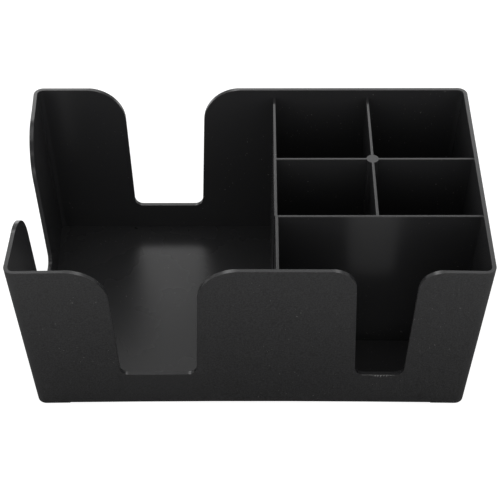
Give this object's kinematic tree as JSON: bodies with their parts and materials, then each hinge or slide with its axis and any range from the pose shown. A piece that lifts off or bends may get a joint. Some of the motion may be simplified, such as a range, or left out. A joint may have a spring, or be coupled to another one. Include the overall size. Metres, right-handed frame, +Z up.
{
  "type": "bar caddy",
  "caption": "Open tapered bar caddy with a wide napkin compartment, small cells and a long compartment, U-shaped finger cut-outs and rubber feet.",
  "frame": {"origin": "on the table, under the middle of the base", "axes": "+X to the right along the long side, +Y to the back, +Z up"},
  "size_m": [0.241, 0.1459, 0.108],
  "materials": {
    "body_abs": "black ABS, spark-eroded matte outside, smooth semi-gloss inside",
    "foot_rubber": "matte moulded rubber",
    "adhesive": "translucent acrylic adhesive disc"
  },
  "bodies": {
    "root": {"caddy_body": "body_abs", "foot_front_left": "foot_rubber", "foot_front_right": "foot_rubber", "foot_back_left": "foot_rubber", "foot_back_right": "foot_rubber", "adhesive_front_left": "adhesive", "adhesive_front_right": "adhesive", "adhesive_back_left": "adhesive", "adhesive_back_right": "adhesive"}
  },
  "joints": []
}
